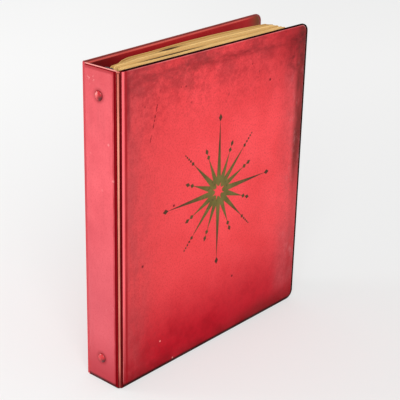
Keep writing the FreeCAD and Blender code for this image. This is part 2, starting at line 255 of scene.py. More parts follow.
def apply_modifier(piece, kind, **settings):
    take(piece)
    bpy.ops.object.modifier_add(type=kind)
    modifier = piece.modifiers[-1]
    for key, value in settings.items():
        setattr(modifier, key, value)
    bpy.ops.object.modifier_apply(modifier=modifier.name)


def smooth(piece, angle=40):
    take(piece)
    bpy.ops.object.shade_smooth_by_angle(angle=math.radians(angle))


def copied(piece, name):
    """A copy with its own mesh."""
    twin = piece.copy()
    twin.data = piece.data.copy()
    twin.name = name
    bpy.context.scene.collection.objects.link(twin)
    return twin


def settle(piece, move=(0, 0, 0), turn=(0, 0, 0)):
    """Turns and moves a piece, and leaves its place in its mesh."""
    take(piece)
    piece.rotation_euler = [math.radians(a) for a in turn]
    piece.location = [v * MM for v in move]
    fix_place()


def joined(pieces, name):
    put_away()
    for piece in pieces:
        piece.select_set(True)
    bpy.context.view_layer.objects.active = pieces[0]
    bpy.ops.object.join()
    pieces[0].name = name
    return pieces[0]


def note(piece, name, value_of):
    """Writes a number on every point of a piece, for its finish to read."""
    values = [value_of(v.co / MM) for v in piece.data.vertices]
    piece.data.attributes.new(name, "FLOAT", "POINT").data.foreach_set("value", values)


# Finishes

def new_finish(name, roughness, metallic=0.0):
    finish = bpy.data.materials.new(name)
    finish.use_nodes = True
    shader = finish.node_tree.nodes["Principled BSDF"]
    shader.inputs["Roughness"].default_value = roughness
    shader.inputs["Metallic"].default_value = metallic
    return finish, finish.node_tree, shader


def add(tree, kind, options=(), **sockets):
    """A node with its options and inputs set. An input may take another node's output."""
    node = tree.nodes.new("ShaderNode" + kind)
    for key, value in dict(options).items():
        setattr(node, key, value)
    for key, value in sockets.items():
        socket = node.inputs[int(key[1:])] if key[0] == "n" and key[1:].isdigit() else node.inputs[key]
        if isinstance(value, bpy.types.NodeSocket):
            tree.links.new(value, socket)
        else:
            socket.default_value = value
    return node


def place_on(tree, stretch=(1, 1, 1)):
    where = add(tree, "TexCoord").outputs["Object"]
    return add(tree, "Mapping", Vector=where, Scale=stretch).outputs["Vector"]


def ramp(tree, value, start, end, low=0.0, high=1.0):
    """A value carried smoothly from one range to another."""
    smooth_step = {"interpolation_type": "SMOOTHSTEP"}
    return add(tree, "MapRange", smooth_step, n0=value, n1=start, n2=end, n3=low, n4=high).outputs["Result"]


def mottle(tree, scale, start=0.35, end=0.65, stretch=(1, 1, 1), detail=4.0, low=0.0, high=1.0, rough=0.5):
    """Uneven patches, from low to high. A high rough breaks their edges up."""
    noise = add(tree, "TexNoise", Vector=place_on(tree, stretch), Scale=scale, Detail=detail, Roughness=rough)
    return ramp(tree, noise.outputs["Fac"], start, end, low, high)


def along(tree, axis, start, end):
    """From 0 to 1 along the album, between two places in millimetres."""
    where = add(tree, "SeparateXYZ", Vector=place_on(tree)).outputs[axis]
    if start < end:
        return ramp(tree, where, start * MM, end * MM)
    return ramp(tree, where, end * MM, start * MM, 1.0, 0.0)


def between(tree, axis, start, full, fading, end):
    """From 0 to 1 and back to 0 along the album, at four places in millimetres."""
    return times(tree, along(tree, axis, start, full), along(tree, axis, end, fading))


def noted(tree, name):
    return add(tree, "Attribute", {"attribute_name": name}).outputs["Fac"]


def reckon(tree, operation, a, b=0.0):
    """A sum on numbers."""
    return add(tree, "Math", {"operation": operation}, n0=a, n1=b).outputs[0]


def measure(tree, operation, a, b):
    """A length found from two points or directions."""
    return add(tree, "VectorMath", {"operation": operation}, n0=a, n1=b).outputs["Value"]


def times(tree, *values):
    result = values[0]
    for value in values[1:]:
        result = reckon(tree, "MULTIPLY", result, value)
    return result


def over(tree, under, colour, *amounts):
    """A colour laid over another where the amounts, multiplied together, say."""
    under, colour = (c if isinstance(c, bpy.types.NodeSocket) else (*c, 1) for c in (under, colour))
    return add(tree, "Mix", {"data_type": "RGBA"}, n0=times(tree, *amounts), n6=under, n7=colour).outputs[2]


def spot(tree, middle, radius):
    """A round patch that fades out from its middle."""
    apart = measure(tree, "DISTANCE", place_on(tree), [v * MM for v in middle])
    return ramp(tree, apart, 0.2 * radius * MM, radius * MM, 1.0, 0.0)


def scuffs(tree, scale, size):
    """Small separate specks."""
    cells = add(tree, "TexVoronoi", Vector=place_on(tree), Scale=scale)
    return ramp(tree, cells.outputs["Distance"], size, size * 1.6, 1.0, 0.0)


def paint(tree, shader, colour):
    tree.links.new(colour, shader.inputs["Base Color"])


def dull(tree, shader, scale, low, high):
    """Uneven gloss: a roughness from low to high, in patches."""
    tree.links.new(mottle(tree, scale, low=low, high=high), shader.inputs["Roughness"])


def raise_grain(tree, shader, height, depth):
    bump = add(tree, "Bump", Height=height, Strength=0.6, Distance=depth * MM)
    tree.links.new(bump.outputs["Normal"], shader.inputs["Normal"])


def vinyl_surface(tree, shader, colour, smoothest, dullest):
    """Pressed grain and handled, uneven gloss, common to all the vinyl."""
    paint(tree, shader, colour)
    shader.inputs["Specular IOR Level"].default_value = 0.1
    dull(tree, shader, 26, smoothest, dullest)
    pebbles = add(tree, "TexVoronoi", {"feature": "SMOOTH_F1"}, Vector=place_on(tree), Scale=900)
    dents = mottle(tree, 70, 0.3, 0.7, low=0.0, high=2.0)
    raise_grain(tree, shader, reckon(tree, "ADD", pebbles.outputs["Distance"], dents), 0.1)


def gleam(tree, shader, mark, plain, marked):
    """Sets how strongly a surface gleams on plain and on marked points."""
    tree.links.new(ramp(tree, noted(tree, mark), 0, 1, plain, marked), shader.inputs["Specular IOR Level"])


def scratch(tree, top, foot, width):
    """A broken line of scraped dots on a cover, between two points."""
    start = (top[0] * MM, 0, top[1] * MM)
    where = add(tree, "VectorMath", {"operation": "SUBTRACT"}, n0=place_on(tree), n1=start).outputs[0]
    run = Vector((foot[0] - top[0], 0, foot[1] - top[1]))
    length, way, fade = run.length, run.normalized(), 4
    aside = reckon(tree, "ABSOLUTE", measure(tree, "DOT_PRODUCT", where, (way.z, 0, -way.x)))
    down = measure(tree, "DOT_PRODUCT", where, way)
    started = ramp(tree, down, 0, fade * MM)
    ended = ramp(tree, down, (length - fade) * MM, length * MM, 1.0, 0.0)
    line = ramp(tree, aside, 0.3 * width * MM, width * MM, 1.0, 0.0)
    return times(tree, line, started, ended, mottle(tree, 260, 0.5, 0.6))


def front_fading(tree):
    """Coral red, browner beside the spine, deeper at the foot and under the head."""
    colour = over(tree, (0.76, 0.054, 0.060), (0.87, 0.078, 0.088), mottle(tree, 14, 0.3, 0.7, detail=8, rough=0.65))
    colour = over(tree, colour, (0.62, 0.052, 0.056), along(tree, "X", 110, 30), 0.5)
    foot = mottle(tree, 12, 0.15, 0.7, detail=7, low=0.85, rough=0.6)
    colour = over(tree, colour, (0.47, 0.004, 0.016), along(tree, "Z", 108, 16), foot)
    streaks = mottle(tree, 60, 0.3, 0.68, stretch=(1, 1, 0.3), detail=9, low=0.25, rough=0.7)
    colour = over(tree, colour, (0.38, 0.056, 0.062), along(tree, "X", 52, 4), streaks, 0.72)
    soil = mottle(tree, 52, 0.42, 0.62, stretch=(0.5, 1, 1), detail=10, low=0.15, rough=0.75)
    colour = over(tree, colour, (0.30, 0.034, 0.038), along(tree, "Z", 246, 284), soil, 0.9)
    head = mottle(tree, 20, 0.3, 0.7, detail=7, low=0.5)
    return over(tree, colour, (0.46, 0.017, 0.024), along(tree, "X", 90, 230), along(tree, "Z", 205, 262), head, 0.7)


def front_fore_wear(tree, colour):
    """Mauve and a brown band along the fore edge, and dark soil at its ends."""
    waist = between(tree, "Z", 4, 30, 240, 278)
    ends = reckon(tree, "SUBTRACT", 1.0, waist)
    mauve = mottle(tree, 30, 0.3, 0.7, stretch=(1, 1, 0.4), detail=8, low=0.25, rough=0.65)
    colour = over(tree, colour, (0.46, 0.082, 0.092), along(tree, "X", 206, 238), mauve, waist, 0.72)
    fore = mottle(tree, 24, 0.35, 0.65, detail=9, low=0.35, rough=0.7)
    fore = times(tree, fore, ramp(tree, along(tree, "Z", 60, 140), 0, 1, 0.3, 0.75))
    colour = over(tree, colour, (0.27, 0.007, 0.011), along(tree, "X", 190, 240), fore, ends)
    brown = mottle(tree, 70, 0.35, 0.6, stretch=(1, 1, 0.25), detail=9, low=0.55, rough=0.7)
    deep = ramp(tree, along(tree, "Z", 85, 190), 0, 1, 0.2, 0.95)
    colour = over(tree, colour, (0.13, 0.017, 0.014), along(tree, "X", 233, 241), brown, deep)
    corner = mottle(tree, 70, 0.38, 0.6, detail=10, rough=0.75)
    colour = over(tree, colour, (0.07, 0.008, 0.008), spot(tree, (240, FRONT_FACE, 262), 36), corner, 0.7)
    patch = mottle(tree, 80, 0.42, 0.6, detail=10, rough=0.75)
    colour = over(tree, colour, (0.22, 0.026, 0.024), spot(tree, (95, FRONT_FACE, 280), 30), patch, 0.6)
    wine = mottle(tree, 26, 0.45, 0.66, detail=9, rough=0.7)
    colour = over(tree, colour, (0.30, 0.002, 0.009), along(tree, "Z", 80, 20), wine, 0.6)
    rubbed = mottle(tree, 110, 0.52, 0.7, stretch=(1, 1, 0.6), detail=8, rough=0.7)
    return over(tree, colour, (0.60, 0.20, 0.21), along(tree, "X", 214, 238), waist, rubbed, 0.35)


def front_marks(tree, colour):
    """A grimy foot, specks, a scratch, a soiled line under the head, spots and blotches."""
    base = mottle(tree, 50, 0.3, 0.65, detail=8, low=0.3, rough=0.65)
    colour = over(tree, colour, (0.18, 0.002, 0.006), along(tree, "Z", 16, 3), base, 0.8)
    heel = mottle(tree, 34, 0.25, 0.65, detail=8, low=0.5, rough=0.65)
    corner = ramp(tree, along(tree, "X", 246, 226), 0, 1, 0.35, 0.8)
    colour = over(tree, colour, (0.15, 0.001, 0.003), along(tree, "X", 110, 205), along(tree, "Z", 26, 4), heel, corner)
    specks = times(tree, scuffs(tree, 150, 0.12), mottle(tree, 40, 0.5, 0.6), along(tree, "Z", 215, 275))
    colour = over(tree, colour, (0.12, 0.008, 0.01), specks, 0.7)
    colour = over(tree, colour, (0.07, 0.004, 0.006), scratch(tree, (48, 270), (35, 222), 0.9))
    smudges = mottle(tree, 90, 0.4, 0.62, stretch=(0.22, 1, 1), detail=9, low=0.1, rough=0.7)
    line = times(tree, between(tree, "Z", 274, 280, 282, 286), ramp(tree, along(tree, "X", 40, 200), 0, 1, 0.45, 1.0))
    colour = over(tree, colour, (0.10, 0.006, 0.008), line, smudges, 0.8)
    for x, z in ((196, 247), (66, 158), (27, 112), (150, 60)):
        colour = over(tree, colour, (0.06, 0.004, 0.006), spot(tree, (x, FRONT_FACE, z), 1.9))
    pale = times(tree, scuffs(tree, 60, 0.045), mottle(tree, 16, 0.52, 0.6))
    colour = over(tree, colour, (0.95, 0.40, 0.36), pale, along(tree, "X", 140, 60), along(tree, "Z", 130, 60), 0.8)
    colour = over(tree, colour, (0.34, 0.014, 0.018), mottle(tree, 620, 0.42, 0.78, detail=3, high=0.42, rough=0.6))
    blotches = mottle(tree, 150, 0.42, 0.64, detail=9, rough=0.78)
    mauve, red, wine = (0.34, 0.030, 0.036), (0.32, 0.016, 0.022), (0.26, 0.002, 0.009)
    for tint, axis, start, end, amount in ((mauve, "X", 75, 10, 0.3), (red, "Z", 205, 275, 0.45),
                                           (wine, "Z", 90, 20, 0.26), (mauve, "X", 200, 235, 0.24)):
        colour = over(tree, colour, tint, blotches, along(tree, axis, start, end), amount)
    return colour


def front_edges(tree, colour):
    """Painted highlights on the panel's rounded edge, brightest as a painted glint along the fore edge and as a pale
    line beside the hinge; dark lines beside the hinge; a painted contact shadow along the black foot; and the dark rim.
    """
    # Painted highlight along the panel's rounded edge, uneven, kept off the foot.
    edge = times(tree, noted(tree, "panel_edge"), mottle(tree, 45, low=0.35))
    colour = over(tree, colour, (0.74, 0.20, 0.20), edge, along(tree, "Z", 3, 9), 0.6)
    # A brighter painted glint on the panel edge along the fore edge.
    painted_glint = times(tree, noted(tree, "panel_edge"), along(tree, "X", 243, 246), mottle(tree, 40, 0.3, 0.6, low=0.3))
    colour = over(tree, colour, (0.88, 0.52, 0.50), painted_glint, along(tree, "Z", 10, 40), 0.7)
    # A pale painted highlight on the panel's rounded edge beside the hinge, broken up unevenly.
    beside = times(tree, between(tree, "X", 2.9, 3.3, 4.8, 5.9), along(tree, "Z", 10, 120))
    rubbed = mottle(tree, 30, 0.2, 0.6, stretch=(1, 1, 0.3), low=0.6)
    colour = over(tree, colour, (0.93, 0.15, 0.17), beside, rubbed)
    crease = mottle(tree, 46, 0.25, 0.6, stretch=(1, 1, 0.3), low=0.4)
    colour = over(tree, colour, (0.30, 0.003, 0.008), between(tree, "X", 5.6, 6.8, 7.4, 9.6), crease, 0.9)
    streak = times(tree, between(tree, "X", 7.5, 9, 10, 13.5), along(tree, "Z", 205, 262))
    broken = mottle(tree, 120, 0.45, 0.6, stretch=(1, 1, 0.2))
    colour = over(tree, colour, (0.13, 0.004, 0.008), streak, broken, 0.5)
    # Painted contact shadow: the foot is darkened almost to black.
    colour = over(tree, colour, (0.022, 0.001, 0.001), along(tree, "Z", 5.0, 2.4), 0.95)
    rim = over(tree, (0.12, 0.002, 0.004), (0.020, 0.003, 0.002), along(tree, "X", 2.6, 6))
    return over(tree, colour, rim, noted(tree, "rim"))


def front_vinyl():
    """The front cover's outside, faded and soiled, with painted highlights on its panel edge and a painted contact
    shadow at its foot.
    """
    finish, tree, shader = new_finish("front_cover_vinyl", 0.45)
    colour = front_fore_wear(tree, front_fading(tree))
    colour = front_edges(tree, front_marks(tree, colour))
    vinyl_surface(tree, shader, colour, 0.4, 0.6)
    gleam(tree, shader, "rim", 0.06, 0.02)
    return finish


def rear_vinyl():
    """The rear cover's outside: even red, rubbed along its edges."""
    finish, tree, shader = new_finish("rear_cover_vinyl", 0.45)
    colour = over(tree, (0.66, 0.042, 0.05), (0.78, 0.062, 0.07), mottle(tree, 12, 0.3, 0.7))
    colour = over(tree, colour, (0.42, 0.012, 0.02), along(tree, "Z", 90, 6), 0.7)
    fore_band = times(tree, along(tree, "X", 215, 246), mottle(tree, 36, 0.3, 0.65, stretch=(1, 1, 0.4)))
    colour = over(tree, colour, (0.34, 0.07, 0.07), fore_band, 0.7)
    colour = over(tree, colour, (0.12, 0.012, 0.014), scuffs(tree, 28, 0.02), 0.8)
    edge = times(tree, noted(tree, "panel_edge"), mottle(tree, 40, low=0.2))
    colour = over(tree, colour, (0.76, 0.24, 0.23), edge, 0.5)
    colour = over(tree, colour, (0.24, 0.05, 0.045), noted(tree, "rim"), 0.85)
    vinyl_surface(tree, shader, colour, 0.4, 0.58)
    return finish


def spine_vinyl():
    """Faded to pink by the light and lighter than the covers partly as a painted sheen, with pale scuffs, a bright bead
    at the head and a dark seal groove, and painted shade round the rivets, along the edge by the front hinge and at the
    foot, bead included.
    """
    finish, tree, shader = new_finish("spine_vinyl", 0.48)
    # The pink is partly faded vinyl and partly a painted sheen, lighter than the covers' red.
    colour = over(tree, (0.60, 0.074, 0.092), (0.725, 0.110, 0.130), mottle(tree, 18, 0.3, 0.7, detail=8, rough=0.62))
    streaks = mottle(tree, 70, 0.45, 0.75, stretch=(1, 1, 0.2), detail=8, rough=0.65)
    colour = over(tree, colour, (0.50, 0.068, 0.082), streaks, 0.5)
    colour = over(tree, colour, (0.54, 0.098, 0.122), along(tree, "Z", 190, 70), 0.5)
    colour = over(tree, colour, (0.38, 0.028, 0.040), along(tree, "Z", 50, 2), 0.85)
    colour = over(tree, colour, (0.52, 0.062, 0.072), along(tree, "Z", 255, 288), 0.5)
    colour = over(tree, colour, (0.30, 0.010, 0.016), along(tree, "Z", 287.4, 289.6), 0.75)
    for y, z, radius in ((10, 280, 7), (-11, 76, 7)):
        smear = times(tree, spot(tree, (-PANEL_FACE, y, z), radius), mottle(tree, 420, 0.56, 0.66, detail=6, rough=0.7))
        colour = over(tree, colour, (0.95, 0.50, 0.47), smear, 0.6)
    for z in RIVET_ZS:
        # Painted shadow round each rivet head, broken up unevenly.
        pressed = times(tree, spot(tree, (-PANEL_FACE, 0, z), RIVET_HEAD_R * 1.9), mottle(tree, 90, 0.2, 0.6, low=0.6))
        colour = over(tree, colour, (0.20, 0.004, 0.008), pressed)
    pale = times(tree, scuffs(tree, 90, 0.08), mottle(tree, 26, 0.52, 0.66))
    colour = over(tree, colour, (0.95, 0.45, 0.43), pale, 0.6)
    colour = over(tree, colour, (0.42, 0.030, 0.04), mottle(tree, 620, 0.45, 0.8, detail=3, high=0.35, rough=0.6))
    # Painted shade on the panel's rounded edge towards the front hinge.
    edge = times(tree, noted(tree, "panel_edge"), along(tree, "Y", -8, -14), mottle(tree, 60, low=0.4))
    colour = over(tree, colour, (0.38, 0.022, 0.03), edge, 0.75)
    # Painted contact shadow: the foot is darkened almost to black.
    colour = over(tree, colour, (0.04, 0.003, 0.004), along(tree, "Z", 4.8, 2.2), 0.9)
    colour = over(tree, colour, (0.19, 0.002, 0.005), noted(tree, "groove"))
    # End beads: bright at the head, with painted shade darkening them towards the foot.
    bead = over(tree, (0.03, 0.004, 0.004), (0.82, 0.30, 0.27), along(tree, "Z", 2, 20))
    colour = over(tree, colour, bead, noted(tree, "bead"))
    vinyl_surface(tree, shader, colour, 0.42, 0.6)
    gleam(tree, shader, "groove", 0.1, 0.01)
    return finish


def lining_vinyl():
    """The darker inside, with a salmon seal line, a brown stain at the upper fore edge and shade by the spine."""
    finish, tree, shader = new_finish("lining_vinyl", 0.5)
    colour = over(tree, (0.33, 0.009, 0.012), (0.43, 0.016, 0.019), mottle(tree, 18, 0.3, 0.7))
    stain = times(tree, along(tree, "X", 225, 250), along(tree, "Z", 240, 286))
    colour = over(tree, colour, (0.13, 0.055, 0.02), stain, 0.9)
    colour = over(tree, colour, (0.085, 0.005, 0.005), along(tree, "X", 75, 8), 0.8)
    colour = over(tree, colour, (0.27, 0.050, 0.045), noted(tree, "rim"))
    seal_line = times(tree, noted(tree, "panel_edge"), mottle(tree, 30, 0.3, 0.7, low=0.55, high=0.95))
    colour = over(tree, colour, (0.66, 0.105, 0.085), seal_line, along(tree, "X", 244, 214))
    vinyl_surface(tree, shader, colour, 0.42, 0.6)
    return finish


def hinge_vinyl():
    """Dark maroon in the bed of the hinge, salmon along the rubbed crest."""
    finish, tree, shader = new_finish("hinge_vinyl", 0.5)
    rubbed = mottle(tree, 60, stretch=(1, 1, 0.15), detail=7, rough=0.6)
    crest = over(tree, (0.50, 0.12, 0.085), (0.70, 0.245, 0.17), rubbed)
    crest = over(tree, crest, (0.20, 0.012, 0.014), along(tree, "Z", 30, 1), 0.9)
    bed = over(tree, (0.07, 0.001, 0.002), (0.13, 0.002, 0.004), mottle(tree, 80))
    vinyl_surface(tree, shader, over(tree, bed, crest, noted(tree, "crest")), 0.42, 0.6)
    gleam(tree, shader, "crest", 0.01, 0.1)
    return finish


def spine_strip_vinyl():
    """The strip round the rear corner: the spine's pink, darker beside its rib."""
    finish, tree, shader = new_finish("spine_strip_vinyl", 0.5)
    faded = mottle(tree, 20, stretch=(1, 1, 0.4), detail=8, rough=0.6)
    pink = over(tree, (0.58, 0.075, 0.092), (0.70, 0.11, 0.13), faded)
    pink = over(tree, pink, (0.5, 0.04, 0.05), along(tree, "Z", 42, 2), 0.8)
    colour = over(tree, (0.50, 0.05, 0.06), pink, noted(tree, "crest"))
    vinyl_surface(tree, shader, colour, 0.42, 0.6)
    return finish


def millboard():
    finish, tree, shader = new_finish("millboard", 0.9)
    fibres = mottle(tree, 240, 0.3, 0.7, stretch=(1, 1, 0.3))
    paint(tree, shader, over(tree, (0.27, 0.20, 0.13), (0.38, 0.30, 0.21), fibres))
    raise_grain(tree, shader, fibres, 0.08)
    return finish


def blocked_foil():
    """Dull olive gold, thin and rubbed in places."""
    finish, tree, shader = new_finish("blocked_foil", 0.42, 0.25)
    shader.inputs["Specular IOR Level"].default_value = 0.2
    middle = spot(tree, (STAR_X, FRONT_FACE, STAR_Z), 58)
    uneven = mottle(tree, 90, 0.3, 0.7)
    dark = over(tree, (0.060, 0.020, 0.009), (0.085, 0.036, 0.013), uneven)
    olive = over(tree, (0.122, 0.100, 0.018), (0.172, 0.142, 0.030), uneven)
    colour = over(tree, dark, olive, middle)
    colour = over(tree, colour, (0.085, 0.045, 0.016), mottle(tree, 320, 0.56, 0.68), 0.6)
    paint(tree, shader, colour)
    dull(tree, shader, 120, 0.34, 0.55)
    raise_grain(tree, shader, mottle(tree, 900), 0.03)
    return finish


def rivet_enamel():
    """Glossy red enamel with a few chips, painted shade round the foot of each head, a painted highlight near each
    crown and a painted shadow low on the side towards the front cover, and bare steel where the shank is hammered over
    inside.
    """
    finish, tree, shader = new_finish("rivet_enamel", 0.2)
    colour = over(tree, (0.42, 0.008, 0.014), (0.56, 0.016, 0.024), mottle(tree, 140))
    # Painted shade round the foot of each head.
    colour = over(tree, colour, (0.10, 0.003, 0.005), along(tree, "X", -2.6, -1.6), 0.85)
    colour = over(tree, colour, (0.3, 0.2, 0.17), scuffs(tree, 420, 0.12), mottle(tree, 200, 0.6, 0.64))
    # On each head: a painted highlight near the crown, and a painted shadow low on the side towards the front cover.
    for z, painted_light_tone in zip(RIVET_ZS, ((0.58, 0.018, 0.026), (0.78, 0.10, 0.10))):
        colour = over(tree, colour, painted_light_tone, spot(tree, (-3.2, 1.2, z + 0.8), 3.0), 0.8)
        colour = over(tree, colour, (0.09, 0.002, 0.004), spot(tree, (-2.4, -3.6, z - 2.6), 4.8))
    colour = over(tree, colour, (0.42, 0.41, 0.39), along(tree, "X", 0.0, 0.4))
    paint(tree, shader, colour)
    tree.links.new(along(tree, "X", 0.0, 0.4), shader.inputs["Metallic"])
    dull(tree, shader, 180, 0.12, 0.3)
    raise_grain(tree, shader, mottle(tree, 300), 0.04)
    return finish


def plated(name, light, dark, stretch, roughness):
    """Nickel plate with drawn streaks, dulled patches and small tarnish spots."""
    finish, tree, shader = new_finish(name, roughness, 1.0)
    streaks = mottle(tree, 220, 0.3, 0.7, stretch=stretch)
    colour = over(tree, dark, light, streaks)
    tarnish = times(tree, mottle(tree, 70, 0.55, 0.75), scuffs(tree, 300, 0.2))
    colour = over(tree, colour, (0.23, 0.16, 0.09), tarnish, 0.6)
    paint(tree, shader, colour)
    dull(tree, shader, 90, roughness * 0.75, roughness * 1.5)
    raise_grain(tree, shader, streaks, 0.015)
    return finish


def album_paper():
    """Yellowed paper: each leaf has its own tone, and where some part in slots at the head, painted shade darkens the
    faces inside.
    """
    finish, tree, shader = new_finish("album_paper", 0.85)
    colour = over(tree, (0.52, 0.28, 0.07), (0.97, 0.69, 0.285), noted(tree, "leaf_tone"))
    fibres = mottle(tree, 160, 0.3, 0.7, stretch=(0.3, 1, 0.3))
    colour = over(tree, colour, (0.60, 0.36, 0.11), fibres, 0.35)
    colour = over(tree, colour, (0.46, 0.24, 0.07), mottle(tree, 22, 0.5, 0.75), 0.4)
    colour = over(tree, colour, (0.42, 0.29, 0.06), noted(tree, "rear_leaf"), 0.55)
    # Painted shade inside the slots between leaves.
    colour = over(tree, colour, (0.045, 0.02, 0.008), noted(tree, "slot"))
    paint(tree, shader, colour)
    raise_grain(tree, shader, fibres, 0.05)
    return finish


def studio_floor():
    """A pale sheet that keeps the album's shadow, with a painted glow for camera and glossy rays that brightens into
    the distance and towards the left, so it looks evenly lit into the distance.
    """
    finish, tree, shader = new_finish("studio_floor", 0.9)
    shade = mottle(tree, 1.2, 0.2, 0.8)
    paint(tree, shader, over(tree, (0.885, 0.885, 0.883), (0.9, 0.9, 0.898), shade))
    away, right = (measure(tree, "DOT_PRODUCT", place_on(tree), way) for way in (FLOOR_AWAY, FLOOR_RIGHT))
    # Painted light: the glow's strength rises into the distance and falls off towards the right.
    level = reckon(tree, "ADD", ramp(tree, away, 0.0, 1.3, 0.835, 1.03), ramp(tree, right, -0.3, 0.35, 0.045, -0.05))
    glow = add(tree, "Emission", Color=(1.0, 1.0, 0.997, 1), Strength=level).outputs[0]
    light_path = add(tree, "LightPath").outputs
    seen = reckon(tree, "MAXIMUM", light_path["Is Camera Ray"], light_path["Is Glossy Ray"])
    mixed = add(tree, "MixShader", n0=times(tree, seen, 0.55), n1=shader.outputs[0], n2=glow).outputs[0]
    tree.links.new(mixed, tree.nodes["Material Output"].inputs["Surface"])
    return finish


# Pieces

def edge_notes(piece, axis):
    """Marks the rim with its bead and groove, and the panel's rounded edge, by the surface's height."""
    note(piece, "rim", lambda at: 1.0 if abs(at[axis]) < GROOVE_TOP else 0.0)
    note(piece, "panel_edge", lambda at: 1.0 if GROOVE_TOP <= abs(at[axis]) < PANEL_EDGE_TOP else 0.0)


def sealed_cover(name, outside):
    """A cover's two sheets, hinged on the Z axis: one mesh, since they are welded all round."""
    low = (COVER_SHEET_START, -RIM_HALF_T, 0)
    plate = slab(name, low, (FORE_EDGE - FORE_RIM_EXTRA, RIM_HALF_T, CASE_HEIGHT))
    pick(plate, "edges", lambda at, way: abs(way.y) > 0.9 and at.x > FORE_EDGE / 2 * MM)
    bpy.ops.mesh.bevel(offset=COVER_CORNER * MM, segments=6, affect="EDGES")
    score(0, CROSS_SCORES)
    score(2, UP_SCORES)
    seal(plate, 1, outside, PANEL_EDGE_STEPS)
    seal(plate, 1, -outside, SOFT_EDGE_STEPS)
    trim((COVER_CUT, 0, 0), (-1, 0, 0))
    pick(plate, "faces", lambda at, way: way.x < -0.9 and at.x < (COVER_CUT + 0.1) * MM)
    bpy.ops.transform.translate(value=((COVER_FLANGE_START - COVER_CUT) * MM, 0, 0))
    put_away()
    widen_fore_rim(plate)
    apply_modifier(plate, "SUBSURF", subdivision_type="SIMPLE", levels=1, render_levels=1)
    edge_notes(plate, 1)
    warp_panel(plate)
    smooth(plate)
    return plate


def widen_fore_rim(plate):
    """Draws the bead out to the fore edge, which widens the seal groove there."""
    corner_x = FORE_EDGE - FORE_RIM_EXTRA - COVER_CORNER
    for v in plate.data.vertices:
        x, _, z = v.co / MM
        from_corner = max(0.0, COVER_CORNER - z, z - CASE_HEIGHT + COVER_CORNER)
        if x > corner_x and math.hypot(x - corner_x, from_corner) > COVER_CORNER - FORE_BEAD_REACH:
            v.co.x += FORE_RIM_EXTRA * min(1.0, (x - corner_x) / COVER_CORNER) * MM


def warp_panel(plate):
    """Lets the panel wave a little outside the star, as old board does."""
    group = plate.vertex_groups.new(name="panel")
    for v in plate.data.vertices:
        at = v.co / MM
        from_star = math.hypot(at.x - STAR_X, at.z - STAR_Z) - WAVE_FREE_STAR
        from_edge = min(at.x, FORE_EDGE - at.x, at.z, CASE_HEIGHT - at.z) - WAVE_FREE_EDGE
        amount = min(1.0, from_star / WAVE_FADE_STAR, from_edge / WAVE_FADE_EDGE)
        group.add([v.index], max(0.0, amount), "REPLACE")
    clouds = bpy.data.textures.new("board_warp", "CLOUDS")
    clouds.noise_scale = WAVE_LENGTH * MM
    apply_modifier(plate, "DISPLACE", texture=clouds, texture_coords="LOCAL", direction="Y", vertex_group="panel",
                   strength=WAVE_HEIGHT * MM, mid_level=0.5)
    plate.vertex_groups.clear()


def two_sided(piece, outer, inner, outside):
    """Puts one finish on the faces that look outwards and the other on the rest."""
    piece.data.materials.append(outer)
    piece.data.materials.append(inner)
    for face in piece.data.polygons:
        face.material_index = 0 if face.normal.dot(outside) > -0.3 else 1


def make_covers(lining):
    front = sealed_cover("front_cover_vinyl", -1)
    rear = sealed_cover("rear_cover_vinyl", 1)
    settle(front, move=(0, -HINGE_Y, 0))
    settle(rear, move=(0, HINGE_Y, 0), turn=(0, 0, REAR_SPLAY))
    two_sided(front, front_vinyl(), lining, Vector((0, -1, 0)))
    two_sided(rear, rear_vinyl(), lining, Vector((0, 1, 0)))
    for piece, body in ((front, "front_cover"), (rear, "rear_cover")):
        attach(piece, body)
        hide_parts(body + "_skin", body + "_lining")


def in_end_bead(at):
    return min(at.z, CASE_HEIGHT - at.z) < SPINE_BEAD


def make_spine(lining):
    low = (-RIM_HALF_T, -SPINE_SHEET_HALF, 0)
    plate = slab("spine_vinyl", low, (RIM_HALF_T, SPINE_SHEET_HALF, CASE_HEIGHT))
    score(1, SPINE_SCORES)
    score(2, UP_SCORES)
    seal(plate, 0, -1, SOFT_EDGE_STEPS)
    seal(plate, 0, 1, PANEL_EDGE_STEPS)
    trim((0, SPINE_REAR_CUT, 0), (0, 1, 0))
    trim((0, -SPINE_CUT, 0), (0, -1, 0))
    pick(plate, "faces", lambda at, way: way.y < -0.9 and at.y < -(SPINE_CUT - 0.1) * MM)
    bpy.ops.transform.translate(value=(0, (SPINE_CUT - SPINE_FLANGE_END) * MM, 0))
    apply_modifier(plate, "SUBSURF", subdivision_type="SIMPLE", levels=1, render_levels=1)
    edge_notes(plate, 0)
    note(plate, "bead", lambda at: 1.0 if in_end_bead(at) else 0.0)
    note(plate, "groove", lambda at: 1.0 if abs(at.x) < GROOVE_TOP and not in_end_bead(at) else 0.0)
    smooth(plate)
    two_sided(plate, spine_vinyl(), lining, Vector((-1, 0, 0)))
    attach(plate, "spine")
    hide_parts("spine_skin", "spine_lining")


def round_bar(name, radius, x, y, low, high):
    """A bar nearly the height of the case, scored along its length and softened at its ends."""
    put_away()
    bpy.ops.mesh.primitive_cylinder_add(vertices=24, radius=radius * MM, depth=(high - low) * MM,
                                        location=(x * MM, y * MM, (low + high) / 2 * MM))
    bar = bpy.context.object
    bar.name = name
    fix_place()
    edit_all()
    pick(bar, "faces", lambda at, way: abs(way.z) > 0.9)
    bpy.ops.mesh.bevel(offset=HINGE_END_ROUND * MM, segments=2, affect="EDGES")
    score(2, [*UP_SCORES, HINGE_BEAD - HINGE_END_ROUND, HINGE_BEAD])
    put_away()
    return bar


